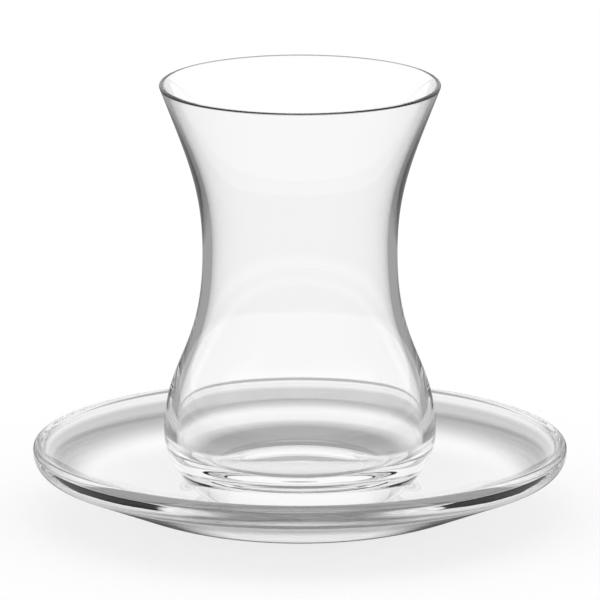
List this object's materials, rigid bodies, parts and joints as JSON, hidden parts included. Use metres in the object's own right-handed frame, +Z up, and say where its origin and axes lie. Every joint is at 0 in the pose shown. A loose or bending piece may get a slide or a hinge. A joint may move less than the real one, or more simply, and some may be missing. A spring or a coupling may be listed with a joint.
{
  "type": "tea glass with saucer",
  "caption": "Waisted clear tea glass, empty and open at the top, standing on its round clear glass saucer.",
  "frame": {"origin": "centre of the saucer's foot, on the table", "axes": "+Z up along the common axis of saucer and glass; X and Y in the table plane, all directions alike"},
  "size_m": [0.11, 0.11, 0.0908],
  "materials": {
    "glass_clear": "clear soda-lime glass, fire-polished",
    "saucer_clear": "clear pressed soda-lime glass, fire-polished"
  },
  "bodies": {
    "root": {"tea_glass": "glass_clear", "saucer": "saucer_clear"}
  },
  "joints": []
}
